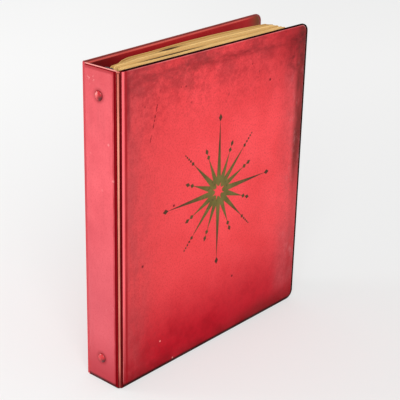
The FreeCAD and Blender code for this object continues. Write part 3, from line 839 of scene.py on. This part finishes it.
def make_front_hinge():
    """A dark bed in the corner of the case, with a slim rubbed crest and a rubbed top end."""
    bed = round_bar("front_hinge", HINGE_BED_R, 0, -HINGE_Y, *HINGE_BED_ENDS)
    note(bed, "crest", lambda at: 1.0 if at.z > HINGE_BEAD - 0.1 else 0.0)
    out = HINGE_CREST_OUT / math.sqrt(2)
    crest = round_bar("front_hinge_crest", HINGE_CREST_R, -out, -HINGE_Y - out, *HINGE_CREST_ENDS)
    note(crest, "crest", lambda at: 1.0)
    hinge = joined([bed, crest], "front_hinge")
    smooth(hinge)
    hinge.data.materials.append(hinge_vinyl())
    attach(hinge, "spine")
    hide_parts("front_hinge_rib")


def make_rear_hinge():
    """A strip of bare vinyl that turns the rear corner, with a low rib along its middle."""
    run = math.dist(WEB_START, WEB_END)
    strip = slab("rear_hinge", (0, -WEB_T / 2, 0), (run, WEB_T / 2, CASE_HEIGHT))
    score(0, [run * share for share in WEB_SCORES])
    score(2, UP_SCORES)
    put_away()
    for v in strip.data.vertices:
        off_middle = v.co.x / MM / run - 0.5
        if abs(off_middle) < WEB_RIB_HALF:
            v.co.y += math.cos(off_middle / WEB_RIB_HALF * math.pi / 2) * WEB_RIB * MM
    note(strip, "crest", lambda at: 0.0 if WEB_DARK[0] < at.x / run < WEB_DARK[1] and at.y < WEB_T else 1.0)
    turn = math.degrees(math.atan2(WEB_END[1] - WEB_START[1], WEB_END[0] - WEB_START[0]))
    settle(strip, move=(*WEB_START, 0), turn=(0, 0, turn))
    smooth(strip)
    strip.data.materials.append(spine_strip_vinyl())
    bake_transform(strip)
    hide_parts("rear_hinge_rib")


def make_rivets():
    """Two rivets through the spine: full domed heads outside, shanks hammered over on the plate."""
    rivets = []
    for z in RIVET_ZS:
        put_away()
        place = ((-PANEL_FACE + RIVET_FLANGE_T / 2) * MM, 0, z * MM)
        bpy.ops.mesh.primitive_cylinder_add(vertices=40, radius=RIVET_HEAD_R * MM, depth=RIVET_FLANGE_T * MM,
                                            rotation=(0, math.pi / 2, 0), location=place)
        rivet = bpy.context.object
        fix_place()
        edit_all()
        pick(rivet, "faces", lambda at, way: way.x < -0.9)
        for width, rise in RIVET_DOME_STEPS:
            bpy.ops.mesh.inset(thickness=width * MM, depth=rise * MM)
        pick(rivet, "faces", lambda at, way: way.x > 0.9)
        bpy.ops.mesh.inset(thickness=(RIVET_HEAD_R - RIVET_SHANK_R) * MM, depth=0)
        shank = (RIVET_CLINCH_X + PANEL_FACE - RIVET_FLANGE_T, 1.0)
        for reach, widen in [shank, *RIVET_CLINCH_STEPS]:
            bpy.ops.mesh.extrude_region_move(TRANSFORM_OT_translate={"value": (reach * MM, 0, 0)})
            bpy.ops.transform.resize(value=(1, widen, widen), center_override=(0, 0, z * MM))
        put_away()
        rivets.append(rivet)
    rivets = joined(rivets, "spine_rivet_pair")
    smooth(rivets, 50)
    rivets.data.materials.append(rivet_enamel())
    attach(rivets, "spine")
    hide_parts("spine_rivets")


def star_body():
    """Sixteen tapered rays round a small eight-pointed hole, lying in the XZ plane."""
    put_away()
    bpy.ops.mesh.primitive_circle_add(vertices=STAR_POINTS, radius=STAR_VALLEY * MM, rotation=(math.pi / 2, 0, 0))
    star = bpy.context.object
    fix_place()
    edit_all()

    def draw(start, end):
        bpy.ops.transform.resize(value=(end / start, 1, end / start), center_override=(0, 0, 0))

    def on_step(at, places):
        step = round(math.degrees(math.atan2(at.z, at.x)) * STAR_POINTS / 360)
        return step % (STAR_POINTS // 4) in places

    def outer(at):
        return at.length > (STAR_VALLEY - 1) * MM

    bpy.ops.mesh.extrude_edges_move()
    draw(STAR_VALLEY, STAR_HOLE_POINT)
    pick(star, "verts", lambda at, way: not outer(at) and not on_step(at, (2, 6)))
    draw(STAR_HOLE_POINT, STAR_HOLE)
    for places, reach in (((0,), STAR_LONG), ((4,), STAR_MIDDLE), ((2, 6), STAR_SHORT)):
        pick(star, "verts", lambda at, way: outer(at) and at.length < (STAR_VALLEY + 1) * MM and on_step(at, places))
        draw(STAR_VALLEY, reach)
    put_away()
    return star


def diamond(half_width, half_length, reach, turn):
    """A small lozenge on a ray's tip, just above the star's own foil."""
    put_away()
    bpy.ops.mesh.primitive_circle_add(vertices=4, radius=MM, fill_type="NGON", rotation=(math.pi / 2, 0, 0))
    tip = bpy.context.object
    fix_place()
    tip.scale = (half_width, 1, half_length)
    tip.location = (0, -LOZENGE_LIFT * MM, reach * MM)
    fix_place()
    settle(tip, turn=(0, turn, 0))
    return tip


def make_star():
    pieces = [star_body()]
    rays = ((0, LONG_LOZENGES), (45, MIDDLE_LOZENGES), (22.5, SHORT_LOZENGES), (67.5, SHORT_LOZENGES))
    for quarter in range(4):
        for aside, lozenges in rays:
            pieces += [diamond(*lozenge, quarter * 90 + aside) for lozenge in lozenges]
    star = joined(pieces, "foil_star_print")
    apply_modifier(star, "SOLIDIFY", thickness=FOIL_T * MM, offset=0.0)
    take(star)
    edit_all()
    bpy.ops.mesh.normals_make_consistent(inside=False)
    put_away()
    settle(star, move=(STAR_X, FRONT_FACE - FOIL_T / 2, STAR_Z))
    star.data.materials.append(blocked_foil())
    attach(star, "front_cover")
    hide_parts("foil_star")


def flat_leaf():
    """One punched leaf, 1 mm thick until it takes its place, with its spine edge at X 0."""
    leaf = slab("leaf", (0, -0.5, LEAF_LOW), (LEAF_WIDTH, 0.5, LEAF_HIGH))
    pick(leaf, "edges", lambda at, way: abs(way.y) > 0.9)
    bpy.ops.mesh.bevel(offset=LEAF_CORNER * MM, segments=3, affect="EDGES")
    score(0, LEAF_SCORES)
    score(2, (SLOT_FOOT - 5, SLOT_FOOT, SLOT_HEAD))
    put_away()
    punches = []
    for z in RING_ZS:
        place = (HOLE_MARGIN * MM, 0, (z - HOLE_DROP) * MM)
        bpy.ops.mesh.primitive_cylinder_add(vertices=20, radius=HOLE_R * MM, depth=4 * MM,
                                            rotation=(math.pi / 2, 0, 0), location=place)
        punches.append(bpy.context.object)
    punch = joined(punches, "leaf_punch")
    apply_modifier(leaf, "BOOLEAN", object=punch, operation="DIFFERENCE", solver="EXACT")
    bpy.data.objects.remove(punch)
    return leaf


def section_faces(swollen, fore_swell, count):
    """Y at the rings, middle and fore edge of each section's two faces, from the album's middle out."""
    outermost = (STACK_HALF, swollen, STACK_HALF + fore_swell)
    faces = [(INNERMOST, STAYING)]
    first = [y + SECTION_GAP for y in STAYING]
    steps = [(b - a + SECTION_GAP) / count for a, b in zip(first, outermost)]
    for i in range(count):
        near = [a + i * step for a, step in zip(first, steps)]
        faces.append((near, [y + step - SECTION_GAP for y, step in zip(near, steps)]))
    return faces


def bowed(face, t):
    """Y on a section's face, from the spine edge at 0 to the fore edge at 1."""
    a, b, c = face
    return 2 * a * (t - 0.5) * (t - 1) - 4 * b * t * (t - 1) + 2 * c * t * (t - 0.5)


def swell(x, start, end):
    """1 in the middle of a stretch of the leaf, and 0 at its ends and outside it."""
    if not start < x < end:
        return 0.0
    return math.sin(math.pi * (x - start) / (end - start)) ** 0.6


def eased(x, start, end):
    """0 at the start and 1 at the end, with soft turns."""
    t = max(0.0, min(1.0, (x - start) / (end - start)))
    return t * t * (3 - 2 * t)


def leaf_section(pattern, number, near, far, side, near_slot, far_slot, chance, tones):
    """A section's leaves: copies of the pattern, bent to lie between the section's faces."""
    at_rings = (near[0] + far[0]) / 2
    spine_x = RING_X + math.sqrt(RING_R ** 2 - at_rings ** 2) - HOLE_MARGIN
    leaves = []
    for i in range(LEAVES_IN_SECTION):
        leaf = copied(pattern, f"leaf_{number}_{i}")
        half_share = chance.uniform(*LEAF_SHARE) / 2
        low, high = (i + 0.5 - half_share) / LEAVES_IN_SECTION, (i + 0.5 + half_share) / LEAVES_IN_SECTION
        lift, slip = chance.uniform(*LEAF_LIFT), chance.uniform(*LEAF_SLIP)
        at_hole = side * (near[0] + (far[0] - near[0]) * (low + high) / 2)
        lobe_middle, lobe_half = FRONT_LOBE if at_hole < LOBE_PARTING else REAR_LOBE
        lobe = LOBE_REACH * math.sqrt(max(0.0, 1 - ((at_hole - lobe_middle) / lobe_half) ** 2)) - LOBE_BACK
        fill = SPINE_FILL * abs(at_hole) / STACK_HALF
        shaded = []
        for v in leaf.data.vertices:
            x, y, z = v.co / MM
            t = x / LEAF_WIDTH
            near_side = y * side < 0
            near_open, far_open = swell(x + spine_x, *near_slot[:2]), swell(x + spine_x, *far_slot[:2])
            wall = 0.0
            if near_side and i == 0:
                wall = near_open
            elif not near_side and i == LEAVES_IN_SECTION - 1:
                wall = far_open
            # Painted shade on the slot walls: full between the slot's foot and head, a little above.
            shaded.append(wall * (0.0 if z < SLOT_FOOT - 0.1 else 1.0 if z < SLOT_HEAD + 0.1 else 0.3))
            inner = bowed(near, t) + near_slot[2] * near_open
            outer = bowed(far, t) - far_slot[2] * far_open
            share = low if near_side else high
            bulge = fill * eased(x, *FILL_RISE) * eased(x, *FILL_FALL)
            across = side * (inner + share * (outer - inner) + bulge)
            if z > CASE_HEIGHT / 2:
                z += lift
            if number == LAST_SECTION and z > SLOT_FOOT:
                z -= LEVER_ROOM * eased(x, *LEVER_ROOM_X)
            if t > 0.5:
                x += slip * (t - 0.5) * 2
            if x < LOBE_ROOT:
                x -= lobe * (LOBE_ROOT - x) / LOBE_ROOT
            v.co = Vector((x + spine_x, across, z)) * MM
        leaf.data.attributes.new("slot", "FLOAT", "POINT").data.foreach_set("value", shaded)
        tone = tones.pop()
        note(leaf, "leaf_tone", lambda at: tone)
        note(leaf, "rear_leaf", lambda at: 1.0 if number == LAST_SECTION and i >= LEAVES_IN_SECTION - 2 else 0.0)
        leaves.append(leaf)
    section = joined(leaves, f"leaves_{number}")
    smooth(section, 30)
    return section


def make_leaves():
    chance = random.Random(7)
    tones = [0.5]
    while len(tones) < LAST_SECTION * LEAVES_IN_SECTION:
        tones.append(chance.random() if chance.random() < 0.45 else tones[-1])
    pattern = flat_leaf()
    paper = album_paper()
    front, rear = section_faces(*FRONT_STACK), section_faces(*REAR_STACK)
    bodies = {4: "front_inner_leaves", 5: "rear_inner_leaves"}
    for side, faces in ((-1, front), (1, rear)):
        for step, (near, far) in enumerate(faces):
            number = 4 - step if side < 0 else 5 + step
            near_slot = READING_SLOT if step == 0 else REAR_PARTING if number == 8 else SHUT
            far_slot = REAR_PARTING if number == 7 else SHUT
            section = leaf_section(pattern, number, near, far, side, near_slot, far_slot, chance, tones)
            section.data.materials.append(paper)
            outer_body = "front_outer_leaves" if side < 0 else "rear_outer_leaves"
            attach(section, bodies.get(number, outer_body))
            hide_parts(f"leaf_section_{number}")
    bpy.data.objects.remove(pattern)


def dress_cad_nodes():
    """Finishes for the pieces whose own shape is shown."""
    ring_wire = plated("ring_nickel", (0.72, 0.71, 0.67), (0.58, 0.57, 0.54), (1, 1, 1), 0.2)
    pressed = plated("pressed_nickel", (0.36, 0.35, 0.33), (0.25, 0.24, 0.22), (1, 1, 0.08), 0.38)
    # Near-black steel for the levers: painted shade, since they sit in shadow behind the spine's head.
    painted_light_tone = plated("painted_shade_steel", (0.07, 0.065, 0.06), (0.035, 0.03, 0.028), (1, 1, 1), 0.45)
    board = millboard()
    for name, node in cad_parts.items():
        if node.hide_render:
            continue
        if name.endswith("board"):
            finish = board
        elif "half_ring" in name:
            finish = ring_wire
        elif "lever" in name:
            finish = painted_light_tone
        else:
            finish = pressed
        node.data.materials.clear()
        node.data.materials.append(finish)


# Studio

def make_floor():
    put_away()
    bpy.ops.mesh.primitive_plane_add(size=FLOOR_SIZE)
    floor = bpy.context.object
    floor.name = "studio_floor"
    floor.data.materials.append(studio_floor())


def area_light(name, place, target, energy, width, height=None):
    """A soft light aimed at a point: square, unless it has a height of its own."""
    put_away()
    bpy.ops.object.light_add(type="AREA", location=place)
    light = bpy.context.object
    light.name = name
    light.data.energy = energy
    light.data.size = width
    if height is not None:
        light.data.shape = "RECTANGLE"
        light.data.size_y = height
    light.rotation_euler = (Vector(target) - light.location).to_track_quat("-Z", "Y").to_euler()


def make_light():
    world = bpy.data.worlds.new("studio_light")
    world.use_nodes = True
    sky = world.node_tree.nodes["Background"]
    sky.inputs["Color"].default_value = (1, 1, 1, 1)
    sky.inputs["Strength"].default_value = SKY_STRENGTH
    bpy.context.scene.world = world
    area_light("softbox", place=(-1.25, -1.35, 1.55), target=(0.1, 0, 0.15), energy=34, width=1.3)
    area_light("strip_light", place=(-0.8, 1.2, 0.35), target=(0, 0, 0.18), energy=9, width=0.45, height=0.8)


def make_camera():
    """The photographed view: from the left and above, tilted a little."""
    yaw, pitch, roll = (math.radians(a) for a in CAMERA_TURN)
    ahead = Vector((math.cos(pitch) * math.sin(yaw), math.cos(pitch) * math.cos(yaw), -math.sin(pitch)))
    across = Vector((math.cos(yaw), -math.sin(yaw), 0))
    up = across.cross(ahead)
    right = across * math.cos(roll) + up * math.sin(roll)
    top = up * math.cos(roll) - across * math.sin(roll)
    put_away()
    bpy.ops.object.camera_add()
    camera = bpy.context.object
    camera.data.sensor_width = CAMERA_SENSOR
    camera.data.lens = CAMERA_LENS
    turn = Matrix((right, top, -ahead)).transposed().to_4x4()
    camera.matrix_world = Matrix.Translation(CAMERA_PLACE) @ turn
    bpy.context.scene.camera = camera


make_camera()
make_floor()
make_light()
lining = lining_vinyl()
make_covers(lining)
make_spine(lining)
make_front_hinge()
make_rear_hinge()
make_rivets()
make_star()
make_leaves()
dress_cad_nodes()
bpy.context.scene.view_settings.view_transform = "Standard"
